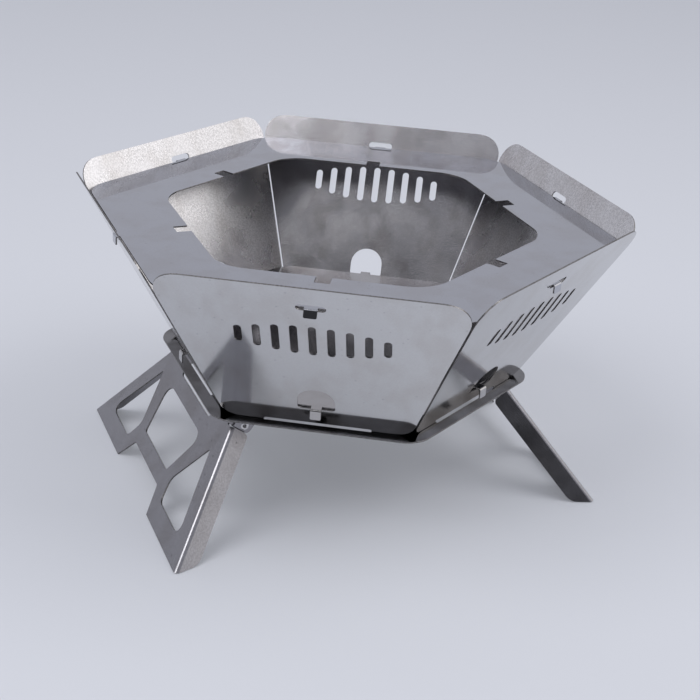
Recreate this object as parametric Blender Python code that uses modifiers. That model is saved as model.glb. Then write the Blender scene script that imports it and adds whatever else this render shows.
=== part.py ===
"""Flat-pack six-sided steel fire pit on two folding legs, modelled in metres with +Z up.

The origin is on the ground under the middle. Sides are named by where they face:
-Y is the front, +X the right. The legs fold under the left and right sides.
"""
import math

import bmesh
import bpy
from mathutils import Matrix, Vector

NAME = "portable_grill"
MM = 0.001
SIDES = {
    "right": 0.0,
    "rear_right": 60.0,
    "rear_left": 120.0,
    "left": 180.0,
    "front_left": 240.0,
    "front_right": 300.0,
}
SIDE_COUNT = len(SIDES)

# Firebox: the height of the ring, the room between the panels there and their lean
RING_HEIGHT = 232.0 * MM
RING_LEVEL_APOTHEM = 200.0 * MM
PANEL_LEAN = math.radians(27.9)
PANEL_RISE = 19.7 * MM
PANEL_SHEET = 1.2 * MM
PANEL_TRIM = 0.7 * MM
PANEL_TOP_RADIUS = 20.0 * MM
PANEL_FOOT_RADIUS = 15.0 * MM

# Clearances between pieces that touch, slide or pass through each other
TOUCH_GAP = 0.3 * MM
RING_SEAT_GAP = 0.5 * MM
RING_EDGE_GAP = 1.0 * MM
FIRE_PLATE_EDGE_GAP = 0.6 * MM
SLOT_SIDE_GAP = 2.2 * MM
PIN_GAP = 0.1 * MM

# Top ring
RING_SHEET = 1.2 * MM
RING_WIDTH = 57.8 * MM
RING_INNER_RADIUS = 32.0 * MM
RING_OUTER_RADIUS = 30.0 * MM
NOTCH_WIDTH = 12.4 * MM
NOTCH_DEPTH = 12.0 * MM
NOTCH_RADIUS = 1.0 * MM
RING_TAB_WIDTH = 10.0 * MM
RING_TAB_DROP = 7.6 * MM
RING_SLOT_WIDTH = 22.4 * MM
RING_SLOT_HEIGHT = 6.4 * MM

# Fire plate, the floor of the firebox
FIRE_PLATE_RISE = 21.0 * MM
FIRE_PLATE_SHEET = 1.2 * MM
FIRE_PLATE_RADIUS = 30.0 * MM
FIRE_TAB_WIDTH = 9.0 * MM
FIRE_TAB_DROP = 9.0 * MM
FIRE_TAB_REACH = 3.4 * MM
BEND_RADIUS = 0.8 * MM
TAB_ROOT = 6.0 * MM
TAB_TIP_RADIUS = 0.4 * MM

# Air window over each fire plate tab, and the row of vents in three of the panels
WINDOW_WIDTH = 30.0 * MM
WINDOW_HEIGHT = 26.0 * MM
WINDOW_FOOT_RADIUS = 3.0 * MM
VENT_COUNT = 9
VENT_PITCH = 14.0 * MM
VENT_WIDTH = 6.0 * MM
VENT_HEIGHT = 34.0 * MM
VENT_SHRINK = 0.45
VENT_DROP = 33.0 * MM
VENTED_SIDES = ("rear_right", "front_left", "front_right")

# Base plate
BASE_HEIGHT = 100.0 * MM
BASE_SHEET = 1.2 * MM
BASE_LIP = 13.1225 * MM
BASE_RADIUS = 23.0 * MM
FOOT_SLOT_LENGTH = 87.2 * MM
FOOT_SLOT_WIDTH = 3.6 * MM
FOOT_SLOT_RADIUS = 1.2 * MM
TONGUE_DEPTH = 2.4 * MM
TONGUE_RADIUS = 1.5 * MM

# Folding legs, in the leg's own plane: heights are measured along the slope from the hinge
HINGE_INSET = 28.4 * MM
HINGE_DROP = 12.2 * MM
LEG_SPLAY = math.radians(35.54)
LEG_SHEET = 1.5 * MM
LEG_INSET = 9.3 * MM
LEG_SHOULDER = 77.0 * MM
LEG_FOOT_HALF = 140.3 * MM
LEG_EDGE_AT_HINGE = 75.4 * MM
FLANGE_WIDTH = 16.0 * MM
FLANGE_START = 6.5 * MM
FLANGE_FOOT_RADIUS = 12.0 * MM
EAR_FOOT = 5.0 * MM
EAR_RADIUS = 4.0 * MM
FOLD_STEP = 0.3 * MM
RELIEF_DEPTH = 2.5 * MM
FOOT_INNER_HALF = 54.2 * MM
ARCH_TOP_HALF = 38.0 * MM
ARCH_RISE = 22.5 * MM
LEG_RECESS_HALF = 41.6 * MM
LEG_RECESS_DROP = 18.6 * MM
MIDDLE_TOP = 32.8 * MM
CROSSBAR = 14.0 * MM
MIDDLE_TOP_HALF = 50.2 * MM
MIDDLE_FOOT_HALF = 35.0 * MM
MIDDLE_TOP_RADIUS = 10.0 * MM
SIDE_HOLE_TOP = 31.0 * MM
SIDE_HOLE_SILL = 17.5 * MM
SIDE_RAIL_TOP = 19.5 * MM
SIDE_RAIL_FOOT = 17.0 * MM
SIDE_HOLE_INNER = 49.4 * MM
SIDE_HOLE_STEP = 58.0 * MM
SIDE_HOLE_STEP_UP = 19.0 * MM
SIDE_TOP_RADIUS = 2.0 * MM
SIDE_FOOT_RADIUS = 7.5 * MM
SIDE_STEP_RADIUS = 8.0 * MM
SIDE_INNER_RADIUS = 12.0 * MM
HOLE_RADIUS = 4.0 * MM

# Hinges: a lug under the base, a washer, and a hollow rivet through both and the leg's ear
LUG_SHEET = 1.5 * MM
LUG_RADIUS = 7.0 * MM
LUG_ROOT_OUT = 0.3 * MM
LUG_ROOT_IN = 13.0 * MM
LUG_FOOT_LENGTH = 13.0 * MM
LUG_ARC_START = math.radians(30.0)
WASHER_THICKNESS = 1.0 * MM
WASHER_RADIUS = 5.0 * MM
RIVET_RADIUS = 2.5 * MM
RIVET_BORE = 1.2 * MM
RIVET_HEAD_RADIUS = 4.2 * MM
RIVET_HEAD_HEIGHT = 1.4 * MM

# Shade and roughness of each kind of steel
RING_FINISH = (0.60, 0.16)
PANEL_FINISH = (0.62, 0.22)
FIRE_PLATE_FINISH = (0.55, 0.35)
BASE_FINISH = (0.50, 0.25)
LEG_FINISH = (0.50, 0.32)
LUG_FINISH = (0.50, 0.35)
RIVET_FINISH = (0.70, 0.30)

# How finely arcs and turned pieces are drawn
ARC_STEP = math.radians(15.0)
TURN_STEPS = 24
MERGE = 0.00001

# Sizes that follow from the ones above
SLOPE = math.tan(PANEL_LEAN)
SHEET_ACROSS = PANEL_SHEET / math.cos(PANEL_LEAN)
BASE_TOP = BASE_HEIGHT + BASE_SHEET
BASE_APOTHEM = RING_LEVEL_APOTHEM + SLOPE * (BASE_HEIGHT - RING_HEIGHT) + BASE_LIP
HINGE_APOTHEM = BASE_APOTHEM - HINGE_INSET
HINGE_HEIGHT = BASE_HEIGHT - HINGE_DROP
FIRE_PLATE_HEIGHT = BASE_TOP + FIRE_PLATE_RISE
PANEL_FOOT_HEIGHT = BASE_TOP + TOUCH_GAP
PANEL_INNER_FOOT = PANEL_FOOT_HEIGHT + PANEL_SHEET * math.sin(PANEL_LEAN)
RING_UNDERSIDE = RING_HEIGHT - RING_SHEET
FIRE_PLATE_UNDERSIDE = FIRE_PLATE_HEIGHT - FIRE_PLATE_SHEET
LEG_TOP = (BASE_HEIGHT - TOUCH_GAP - HINGE_HEIGHT - LEG_INSET * math.sin(LEG_SPLAY)) / math.cos(LEG_SPLAY)
LEG_FOOT = (HINGE_HEIGHT + LEG_INSET * math.sin(LEG_SPLAY)) / math.cos(LEG_SPLAY)
ARCH_DROP = LEG_FOOT - ARCH_RISE
MIDDLE_FOOT = ARCH_DROP - CROSSBAR
SIDE_HOLE_FOOT = LEG_FOOT - SIDE_HOLE_SILL


def clear_scene():
    for item in list(bpy.data.objects):
        bpy.data.objects.remove(item, do_unlink=True)


def collection(name):
    group = bpy.data.collections.get(name) or bpy.data.collections.new(name)
    if group.name not in bpy.context.scene.collection.children:
        bpy.context.scene.collection.children.link(group)
    return group


def steel(name, shade, roughness):
    """A Principled steel of its own for one piece."""
    material = bpy.data.materials.new(name + "_steel")
    material.use_nodes = True
    surface = material.node_tree.nodes["Principled BSDF"]
    surface.inputs["Base Color"].default_value = (shade, shade, shade * 1.02, 1.0)
    surface.inputs["Metallic"].default_value = 1.0
    surface.inputs["Roughness"].default_value = roughness
    return material


def panel_apothem(height):
    """Distance from the middle to a panel's inner face at a height."""
    return RING_LEVEL_APOTHEM + SLOPE * (height - RING_HEIGHT)


def along_panel(height):
    """Distance up a panel from its foot to a height on its inner face."""
    return (height - PANEL_INNER_FOOT) / math.cos(PANEL_LEAN)


def rounded(corners):
    """Outline through (x, y, radius) corners, with each corner rounded by its radius."""
    points = []
    count = len(corners)
    for index, (x, y, radius) in enumerate(corners):
        here = Vector((x, y))
        before = Vector(corners[index - 1][:2]) - here
        after = Vector(corners[(index + 1) % count][:2]) - here
        if radius <= 0.0:
            points.append((x, y))
            continue
        half = before.angle(after) / 2.0
        middle = here + (before.normalized() + after.normalized()).normalized() * radius / math.sin(half)
        start = here + before.normalized() * radius / math.tan(half) - middle
        sweep = start.angle_signed(here + after.normalized() * radius / math.tan(half) - middle)
        steps = max(2, round(abs(sweep) / ARC_STEP))
        for step in range(steps + 1):
            turn = -sweep * step / steps
            points.append((middle.x + start.x * math.cos(turn) - start.y * math.sin(turn),
                           middle.y + start.x * math.sin(turn) + start.y * math.cos(turn)))
    return points


def hexagon(apothem, radius):
    """Hexagon outline with flats across X, with rounded corners."""
    reach = apothem / math.cos(math.pi / SIDE_COUNT)
    turns = [math.pi / SIDE_COUNT + index * 2.0 * math.pi / SIDE_COUNT for index in range(SIDE_COUNT)]
    return rounded([(reach * math.cos(turn), reach * math.sin(turn), radius) for turn in turns])


def circle(x, y, radius, steps=TURN_STEPS):
    turns = [2.0 * math.pi * step / steps for step in range(steps)]
    return [(x + radius * math.cos(turn), y + radius * math.sin(turn)) for turn in turns]


def slot(x, y, width, height):
    """Upright or flat slot with fully rounded ends, centred on x, y."""
    radius = min(width, height) * 0.4999
    return rounded([(x - width / 2, y - height / 2, radius), (x + width / 2, y - height / 2, radius),
                    (x + width / 2, y + height / 2, radius), (x - width / 2, y + height / 2, radius)])


def turned_outline(points, azimuth, apothem):
    """Moves an outline drawn across a side (x along it, y outward) to its place in the plan."""
    angle = math.radians(azimuth)
    outward = Vector((math.cos(angle), math.sin(angle)))
    along = Vector((-math.sin(angle), math.cos(angle)))
    return [tuple(outward * (apothem + y) + along * x) for x, y in points]


def sheet(name, outlines, low, high, group):
    """Flat sheet between two local heights, from an outline and the outlines of its holes."""
    curve = bpy.data.curves.new(name + "_outline", "CURVE")
    curve.dimensions = "2D"
    curve.fill_mode = "BOTH"
    curve.extrude = (high - low) / 2.0
    for outline in outlines:
        spline = curve.splines.new("POLY")
        spline.points.add(len(outline) - 1)
        for point, (x, y) in zip(spline.points, outline):
            point.co = (x, y, 0.0, 1.0)
        spline.use_cyclic_u = True
    drawn = bpy.data.objects.new(name + "_outline", curve)
    bpy.context.scene.collection.objects.link(drawn)
    mesh = bpy.data.meshes.new_from_object(drawn.evaluated_get(bpy.context.evaluated_depsgraph_get()))
    mesh.name = name
    bpy.data.objects.remove(drawn, do_unlink=True)
    work = bmesh.new()
    work.from_mesh(mesh)
    bmesh.ops.remove_doubles(work, verts=work.verts, dist=MERGE)
    bmesh.ops.translate(work, verts=work.verts, vec=(0.0, 0.0, (high + low) / 2.0))
    bmesh.ops.recalc_face_normals(work, faces=work.faces)
    work.to_mesh(mesh)
    work.free()
    mesh.materials.clear()
    piece = bpy.data.objects.new(name, mesh)
    group.objects.link(piece)
    return piece


def side_frame(azimuth, apothem, height, lean):
    """Frame of a leaning sheet: X along its side, Y up the sheet, Z out of its outer face."""
    angle = math.radians(azimuth)
    outward = Vector((math.cos(angle), math.sin(angle), 0.0))
    along = Vector((-math.sin(angle), math.cos(angle), 0.0))
    up = outward * math.sin(lean) + Vector((0.0, 0.0, math.cos(lean)))
    normal = along.cross(up)
    matrix = Matrix((along, up, normal)).transposed().to_4x4()
    matrix.translation = outward * apothem + Vector((0.0, 0.0, height))
    return matrix


def combine(target, other, operation):
    """Exact Boolean of another object, which stays in the file as a hidden wire shape."""
    other.hide_render = True
    other.display_type = "WIRE"
    change = target.modifiers.new(other.name, "BOOLEAN")
    change.object = other
    change.operation = operation
    change.solver = "EXACT"


def finish(piece, shade_and_roughness):
    piece.data.materials.append(steel(piece.name, *shade_and_roughness))


def hook_profile(reach, drop, thickness):
    """Side view of a tab bent down at its end: x outward from the sheet, y down from its top."""
    return rounded([(-TAB_ROOT, 0.0, 0.0), (reach, 0.0, BEND_RADIUS + thickness), (reach, -drop, TAB_TIP_RADIUS),
                    (reach - thickness, -drop, TAB_TIP_RADIUS), (reach - thickness, -thickness, BEND_RADIUS),
                    (-TAB_ROOT, -thickness, 0.0)])


def add_hooks(plate, azimuths, outer_apothem, top, tab_width, reach, drop, thickness, cutters):
    """Joins a bent tab to each side of a plate. Its root lies inside the plate's edge."""
    for side, azimuth in azimuths.items():
        profile = hook_profile(reach, drop, thickness)
        tab = sheet(plate.name + "_tab_" + side, [profile], -tab_width / 2, tab_width / 2, cutters)
        angle = math.radians(azimuth)
        outward = Vector((math.cos(angle), math.sin(angle), 0.0))
        upward = Vector((0.0, 0.0, 1.0))
        matrix = Matrix((outward, upward, outward.cross(upward))).transposed().to_4x4()
        matrix.translation = outward * outer_apothem + upward * top
        tab.matrix_world = matrix
        combine(plate, tab, "UNION")


def top_ring(parts, cutters):
    """Flat ring with a notch in each inner edge and a hooked tab on each outer edge."""
    outer = panel_apothem(RING_UNDERSIDE) - RING_EDGE_GAP
    opening = outer - RING_WIDTH
    inner = []
    reach = opening / math.cos(math.pi / SIDE_COUNT)
    for index, azimuth in enumerate(sorted(SIDES.values())):
        notch = [(-NOTCH_WIDTH / 2, 0.0), (-NOTCH_WIDTH / 2, NOTCH_DEPTH),
                 (NOTCH_WIDTH / 2, NOTCH_DEPTH), (NOTCH_WIDTH / 2, 0.0)]
        radii = (0.0, NOTCH_RADIUS, NOTCH_RADIUS, 0.0)
        placed = turned_outline(notch, azimuth, opening)
        inner += [(x, y, radius) for (x, y), radius in zip(placed, radii)]
        corner = math.radians(azimuth) + math.pi / SIDE_COUNT
        inner.append((reach * math.cos(corner), reach * math.sin(corner), RING_INNER_RADIUS))
    ring = sheet("top_ring", [hexagon(outer, RING_OUTER_RADIUS), rounded(inner)],
                 RING_UNDERSIDE, RING_HEIGHT, parts)
    hook_face = panel_apothem(RING_UNDERSIDE - RING_SEAT_GAP) + SHEET_ACROSS + TOUCH_GAP + RING_SHEET
    add_hooks(ring, SIDES, outer, RING_HEIGHT, RING_TAB_WIDTH, hook_face - outer,
              RING_TAB_DROP, RING_SHEET, cutters)
    finish(ring, RING_FINISH)


def fire_plate(parts, cutters):
    """Floor of the firebox, hung on the panels by a hooked tab through each window."""
    outer = panel_apothem(FIRE_PLATE_UNDERSIDE) - FIRE_PLATE_EDGE_GAP
    floor = sheet("fire_plate", [hexagon(outer, FIRE_PLATE_RADIUS)],
                  FIRE_PLATE_UNDERSIDE, FIRE_PLATE_HEIGHT, parts)
    hook_face = panel_apothem(FIRE_PLATE_UNDERSIDE) + SHEET_ACROSS + FIRE_TAB_REACH + FIRE_PLATE_SHEET
    add_hooks(floor, SIDES, outer, FIRE_PLATE_HEIGHT, FIRE_TAB_WIDTH, hook_face - outer,
              FIRE_TAB_DROP, FIRE_PLATE_SHEET, cutters)
    finish(floor, FIRE_PLATE_FINISH)


def panel_outline():
    """Trapezoid with rounded corners, and a tongue along the middle of its foot."""
    share = math.tan(math.pi / SIDE_COUNT)
    top = along_panel(RING_HEIGHT + PANEL_RISE)
    foot_half = panel_apothem(PANEL_INNER_FOOT) * share - PANEL_TRIM
    top_half = panel_apothem(RING_HEIGHT + PANEL_RISE) * share - PANEL_TRIM
    tongue_half = FOOT_SLOT_LENGTH / 2 - SLOT_SIDE_GAP
    tongue_foot = along_panel(BASE_HEIGHT - TONGUE_DEPTH)
    return rounded([
        (-foot_half, 0.0, PANEL_FOOT_RADIUS), (-tongue_half, 0.0, 0.0),
        (-tongue_half, tongue_foot, TONGUE_RADIUS), (tongue_half, tongue_foot, TONGUE_RADIUS),
        (tongue_half, 0.0, 0.0), (foot_half, 0.0, PANEL_FOOT_RADIUS),
        (top_half, top, PANEL_TOP_RADIUS), (-top_half, top, PANEL_TOP_RADIUS)])


def window_outline():
    """Arched window that the fire plate's tab passes through."""
    foot = along_panel(FIRE_PLATE_UNDERSIDE - TOUCH_GAP)
    half = WINDOW_WIDTH / 2
    return rounded([(-half, foot, WINDOW_FOOT_RADIUS), (half, foot, WINDOW_FOOT_RADIUS),
                    (half, foot + WINDOW_HEIGHT, half * 0.999), (-half, foot + WINDOW_HEIGHT, half * 0.999)])


def vent_outlines():
    """Row of upright vents, shorter toward both ends."""
    middle = along_panel(RING_HEIGHT - VENT_DROP)
    outlines = []
    for index in range(VENT_COUNT):
        place = index - (VENT_COUNT - 1) / 2.0
        share = 1.0 - VENT_SHRINK * (2.0 * place / (VENT_COUNT - 1)) ** 2
        outlines.append(slot(place * VENT_PITCH, middle, VENT_WIDTH, VENT_HEIGHT * share))
    return outlines


def panel(side, azimuth, parts):
    """One leaning side panel. Its origin is on the line where its foot stands on the base."""
    slot_foot = along_panel(RING_UNDERSIDE - RING_SEAT_GAP)
    outlines = [panel_outline(), window_outline(),
                slot(0.0, slot_foot + RING_SLOT_HEIGHT / 2, RING_SLOT_WIDTH, RING_SLOT_HEIGHT)]
    if side in VENTED_SIDES:
        outlines += vent_outlines()
    piece = sheet("panel_" + side, outlines, -PANEL_SHEET, 0.0, parts)
    apothem = panel_apothem(PANEL_INNER_FOOT) + PANEL_SHEET * math.cos(PANEL_LEAN)
    piece.matrix_world = side_frame(azimuth, apothem, PANEL_FOOT_HEIGHT, PANEL_LEAN)
    finish(piece, PANEL_FINISH)


def base_plate(parts):
    """Hexagonal plate with a slot along each side for a panel's tongue."""
    outlines = [hexagon(BASE_APOTHEM, BASE_RADIUS)]
    inside = panel_apothem(BASE_HEIGHT) - TOUCH_GAP
    for azimuth in SIDES.values():
        half = FOOT_SLOT_LENGTH / 2
        shape = rounded([(-half, 0.0, FOOT_SLOT_RADIUS), (half, 0.0, FOOT_SLOT_RADIUS),
                         (half, FOOT_SLOT_WIDTH, FOOT_SLOT_RADIUS), (-half, FOOT_SLOT_WIDTH, FOOT_SLOT_RADIUS)])
        outlines.append(turned_outline(shape, azimuth, inside))
    plate = sheet("base_plate", outlines, BASE_HEIGHT, BASE_TOP, parts)
    finish(plate, BASE_FINISH)


def leg_edge(down):
    """Half width of a leg at a distance down its slope from the hinge."""
    return LEG_EDGE_AT_HINGE + (LEG_FOOT_HALF - LEG_EDGE_AT_HINGE) * down / LEG_FOOT


def leg_plate_outline():
    """Leg seen square on: shoulders at the hinges, spread sides, and an arch between two feet."""
    below = LEG_FOOT + LEG_SHEET * 2.0
    folded = LEG_SHEET / 2.0
    shoulder = LEG_SHOULDER - folded
    right = [
        (LEG_RECESS_HALF, LEG_TOP, 0.0), (shoulder, LEG_TOP, 0.0), (shoulder, -EAR_FOOT, 0.0),
        (shoulder - RELIEF_DEPTH, -EAR_FOOT, 0.0), (shoulder - RELIEF_DEPTH, -FLANGE_START, 0.0),
        (leg_edge(FLANGE_START) - folded, -FLANGE_START, 0.0), (leg_edge(below) - folded, -below, 0.0),
        (FOOT_INNER_HALF, -below, 0.0), (ARCH_TOP_HALF, -ARCH_DROP, HOLE_RADIUS)]
    left = [(-x, y, radius) for x, y, radius in reversed(right)]
    recess = [(-LEG_RECESS_HALF, -LEG_RECESS_DROP, HOLE_RADIUS),
              (LEG_RECESS_HALF, -LEG_RECESS_DROP, HOLE_RADIUS)]
    return rounded(right + left + recess)


def leg_hole_outlines():
    """Middle opening, wider at its top, and a side opening by each foot."""
    middle = [(-MIDDLE_TOP_HALF, -MIDDLE_TOP, MIDDLE_TOP_RADIUS),
              (MIDDLE_TOP_HALF, -MIDDLE_TOP, MIDDLE_TOP_RADIUS),
              (MIDDLE_FOOT_HALF, -MIDDLE_FOOT, HOLE_RADIUS), (-MIDDLE_FOOT_HALF, -MIDDLE_FOOT, HOLE_RADIUS)]
    outlines = [rounded(middle)]
    for hand in (-1.0, 1.0):
        side = [(leg_edge(SIDE_HOLE_TOP) - SIDE_RAIL_TOP, -SIDE_HOLE_TOP, SIDE_TOP_RADIUS),
                (leg_edge(SIDE_HOLE_FOOT) - SIDE_RAIL_FOOT, -SIDE_HOLE_FOOT, SIDE_FOOT_RADIUS),
                (SIDE_HOLE_STEP, -SIDE_HOLE_FOOT, SIDE_STEP_RADIUS),
                (SIDE_HOLE_INNER, -SIDE_HOLE_FOOT + SIDE_HOLE_STEP_UP, SIDE_INNER_RADIUS)]
        outlines.append(rounded([(hand * x, y, radius) for x, y, radius in side]))
    return outlines


def leg_flange(name, hand, frame, cutters):
    """Stiffening flange folded in along one slanted edge of a leg."""
    start = Vector((hand * leg_edge(FLANGE_START), -FLANGE_START, LEG_INSET - FOLD_STEP))
    end = Vector((hand * leg_edge(LEG_FOOT), -LEG_FOOT, LEG_INSET - FOLD_STEP))
    fold = (end - start).normalized()
    inward = Vector((0.0, 0.0, -1.0))
    across = fold.cross(inward)
    local = Matrix((fold, inward, across)).transposed().to_4x4()
    local.translation = start
    place = frame @ local
    # The foot runs level, a little under the ground that trims it
    depth = FLANGE_WIDTH - FOLD_STEP
    length, short = [LEG_SHEET + (place.translation.z + place.col[1].z * wide) / -place.col[0].z
                     for wide in (0.0, depth)]
    shape = rounded([(0.0, 0.0, 0.0), (length, 0.0, 0.0), (short, depth, FLANGE_FOOT_RADIUS),
                     (0.0, depth, EAR_RADIUS)])
    low, high = sorted((0.0, LEG_SHEET if across.x * hand < 0.0 else -LEG_SHEET))
    flange = sheet(name, [shape], low, high, cutters)
    flange.matrix_world = place
    return flange


def leg_ear(name, hand, frame, cutters):
    """Ear folded in at a leg's shoulder, square to the hinge pin and bored for it."""
    front = LEG_INSET - FOLD_STEP
    back = LEG_INSET - FLANGE_WIDTH
    top = LEG_TOP - FOLD_STEP
    foot = FOLD_STEP - EAR_FOOT
    shape = rounded([(foot, front, 0.0), (top, front, 0.0), (top, back, EAR_RADIUS), (foot, back, EAR_RADIUS)])
    low, high = sorted((hand * LEG_SHOULDER, hand * (LEG_SHOULDER - LEG_SHEET)))
    ear = sheet(name, [shape, circle(0.0, 0.0, RIVET_RADIUS + PIN_GAP)], low, high, cutters)
    # The ear is drawn with x up the leg, y out of its face and z along the pin
    local = Matrix(((0.0, 0.0, 1.0), (1.0, 0.0, 0.0), (0.0, 1.0, 0.0))).to_4x4()
    ear.matrix_world = frame @ local
    return ear


def ground_cutter(cutters):
    """Block under the ground that trims the feet flat."""
    bpy.ops.mesh.primitive_cube_add(size=1.0)
    block = bpy.context.active_object
    block.name = "ground"
    for group in list(block.users_collection):
        group.objects.unlink(block)
    cutters.objects.link(block)
    block.scale = (3.0 * RING_LEVEL_APOTHEM, 3.0 * RING_LEVEL_APOTHEM, BASE_HEIGHT)
    block.location = (0.0, 0.0, -BASE_HEIGHT / 2.0)
    return block


def leg(side, azimuth, ground, parts, cutters):
    """Folding leg: a pierced plate with two flanges and two bored ears, on its hinge axis."""
    frame = side_frame(azimuth, HINGE_APOTHEM, HINGE_HEIGHT, -LEG_SPLAY)
    outlines = [leg_plate_outline()] + leg_hole_outlines()
    piece = sheet("leg_" + side, outlines, LEG_INSET - LEG_SHEET, LEG_INSET, parts)
    piece.matrix_world = frame
    for hand, end in ((-1.0, "a"), (1.0, "b")):
        combine(piece, leg_flange("leg_%s_flange_%s" % (side, end), hand, frame, cutters), "UNION")
        combine(piece, leg_ear("leg_%s_ear_%s" % (side, end), hand, frame, cutters), "UNION")
    combine(piece, ground, "DIFFERENCE")
    finish(piece, LEG_FINISH)


def lug(name, azimuth, hand, parts, cutters):
    """Bracket under the base that a leg hangs on: a drop with the pin's hole, and a flat foot."""
    drop = BASE_HEIGHT - TOUCH_GAP - HINGE_HEIGHT
    steps = round(math.pi / ARC_STEP)
    turns = [LUG_ARC_START - math.pi * step / steps for step in range(steps + 1)]
    outline = [(-LUG_ROOT_IN, drop), (LUG_ROOT_OUT, drop)]
    outline += [(LUG_RADIUS * math.cos(turn), LUG_RADIUS * math.sin(turn)) for turn in turns]
    inner_face = LEG_SHOULDER - LEG_SHEET - TOUCH_GAP - WASHER_THICKNESS - TOUCH_GAP
    low, high = sorted((hand * inner_face, hand * (inner_face - LUG_SHEET)))
    piece = sheet(name, [outline, circle(0.0, 0.0, RIVET_RADIUS + PIN_GAP)], low, high, parts)
    angle = math.radians(azimuth)
    outward = Vector((math.cos(angle), math.sin(angle), 0.0))
    along = Vector((-math.sin(angle), math.cos(angle), 0.0))
    upward = Vector((0.0, 0.0, 1.0))
    frame = Matrix((outward, upward, along)).transposed().to_4x4()
    frame.translation = outward * HINGE_APOTHEM + upward * HINGE_HEIGHT
    piece.matrix_world = frame
    near, far = sorted((hand * (inner_face - LUG_SHEET / 2), hand * (inner_face - LUG_FOOT_LENGTH)))
    foot_shape = [(-LUG_ROOT_IN, drop - LUG_SHEET), (-LUG_ROOT_OUT, drop - LUG_SHEET),
                  (-LUG_ROOT_OUT, drop), (-LUG_ROOT_IN, drop)]
    foot = sheet(name + "_foot", [foot_shape], near, far, cutters)
    foot.matrix_world = frame
    combine(piece, foot, "UNION")
    finish(piece, LUG_FINISH)


def turned(name, profile, azimuth, hand, start, parts):
    """Turned piece on a hinge axis: profile points are (radius, distance toward the middle)."""
    mesh = bpy.data.meshes.new(name)
    work = bmesh.new()
    corners = [work.verts.new((radius, 0.0, -along)) for radius, along in profile]
    for index, corner in enumerate(corners):
        work.edges.new((corner, corners[(index + 1) % len(corners)]))
    work.to_mesh(mesh)
    work.free()
    piece = bpy.data.objects.new(name, mesh)
    parts.objects.link(piece)
    screw = piece.modifiers.new("turn", "SCREW")
    screw.steps = TURN_STEPS
    screw.render_steps = TURN_STEPS
    screw.merge_threshold = MERGE
    screw.use_merge_vertices = True
    angle = math.radians(azimuth)
    outward = Vector((math.cos(angle), math.sin(angle), 0.0))
    along = Vector((-math.sin(angle), math.cos(angle), 0.0)) * hand
    matrix = Matrix((outward, along.cross(outward), along)).transposed().to_4x4()
    matrix.translation = outward * HINGE_APOTHEM + along * start + Vector((0.0, 0.0, HINGE_HEIGHT))
    piece.matrix_world = matrix
    finish(piece, RIVET_FINISH)


def hinge(side, azimuth, hand, end, parts, cutters):
    """Lug, washer and hollow rivet at one end of a leg's hinge axis."""
    lug("hinge_lug_%s_%s" % (side, end), azimuth, hand, parts, cutters)
    washer_start = LEG_SHOULDER - LEG_SHEET - TOUCH_GAP
    bore = RIVET_RADIUS + PIN_GAP
    washer = [(WASHER_RADIUS, 0.0), (WASHER_RADIUS, WASHER_THICKNESS), (bore, WASHER_THICKNESS), (bore, 0.0)]
    turned("hinge_washer_%s_%s" % (side, end), washer, azimuth, hand, washer_start, parts)
    stack = LEG_SHEET + WASHER_THICKNESS + LUG_SHEET + 4.0 * TOUCH_GAP
    head = RIVET_HEAD_HEIGHT
    rivet = [(RIVET_BORE, -head), (RIVET_HEAD_RADIUS * 0.8, -head), (RIVET_HEAD_RADIUS, -head * 0.4),
             (RIVET_HEAD_RADIUS, 0.0), (RIVET_RADIUS, 0.0), (RIVET_RADIUS, stack),
             (RIVET_HEAD_RADIUS * 0.9, stack), (RIVET_HEAD_RADIUS * 0.7, stack + head * 0.8),
             (RIVET_BORE, stack + head * 0.8)]
    turned("hinge_rivet_%s_%s" % (side, end), rivet, azimuth, hand, LEG_SHOULDER + TOUCH_GAP, parts)


def shade_round(parts):
    for piece in parts.objects:
        piece.data.shade_smooth()
        piece.data.set_sharp_from_angle(angle=math.radians(30.0))


def build():
    clear_scene()
    parts = collection(NAME)
    cutters = collection("cutters")
    ground = ground_cutter(cutters)
    ground.hide_render = True
    ground.display_type = "WIRE"
    base_plate(parts)
    for side in ("left", "right"):
        azimuth = SIDES[side]
        leg(side, azimuth, ground, parts, cutters)
        for hand in (-1.0, 1.0):
            world_y = hand * math.cos(math.radians(azimuth))
            hinge(side, azimuth, hand, "rear" if world_y > 0.0 else "front", parts, cutters)
    fire_plate(parts, cutters)
    for side, azimuth in SIDES.items():
        panel(side, azimuth, parts)
    top_ring(parts, cutters)
    shade_round(parts)


build()
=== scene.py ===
"""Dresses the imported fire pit: folded sheet steel, studio light and the photograph's camera.

Metres, +Z up. Every sheet is drawn flat as one surface, folded along its tabs and flanges,
given its thickness and then its broken edges.
"""
import math

import bmesh
import bpy
from mathutils import Matrix, Vector


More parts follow.
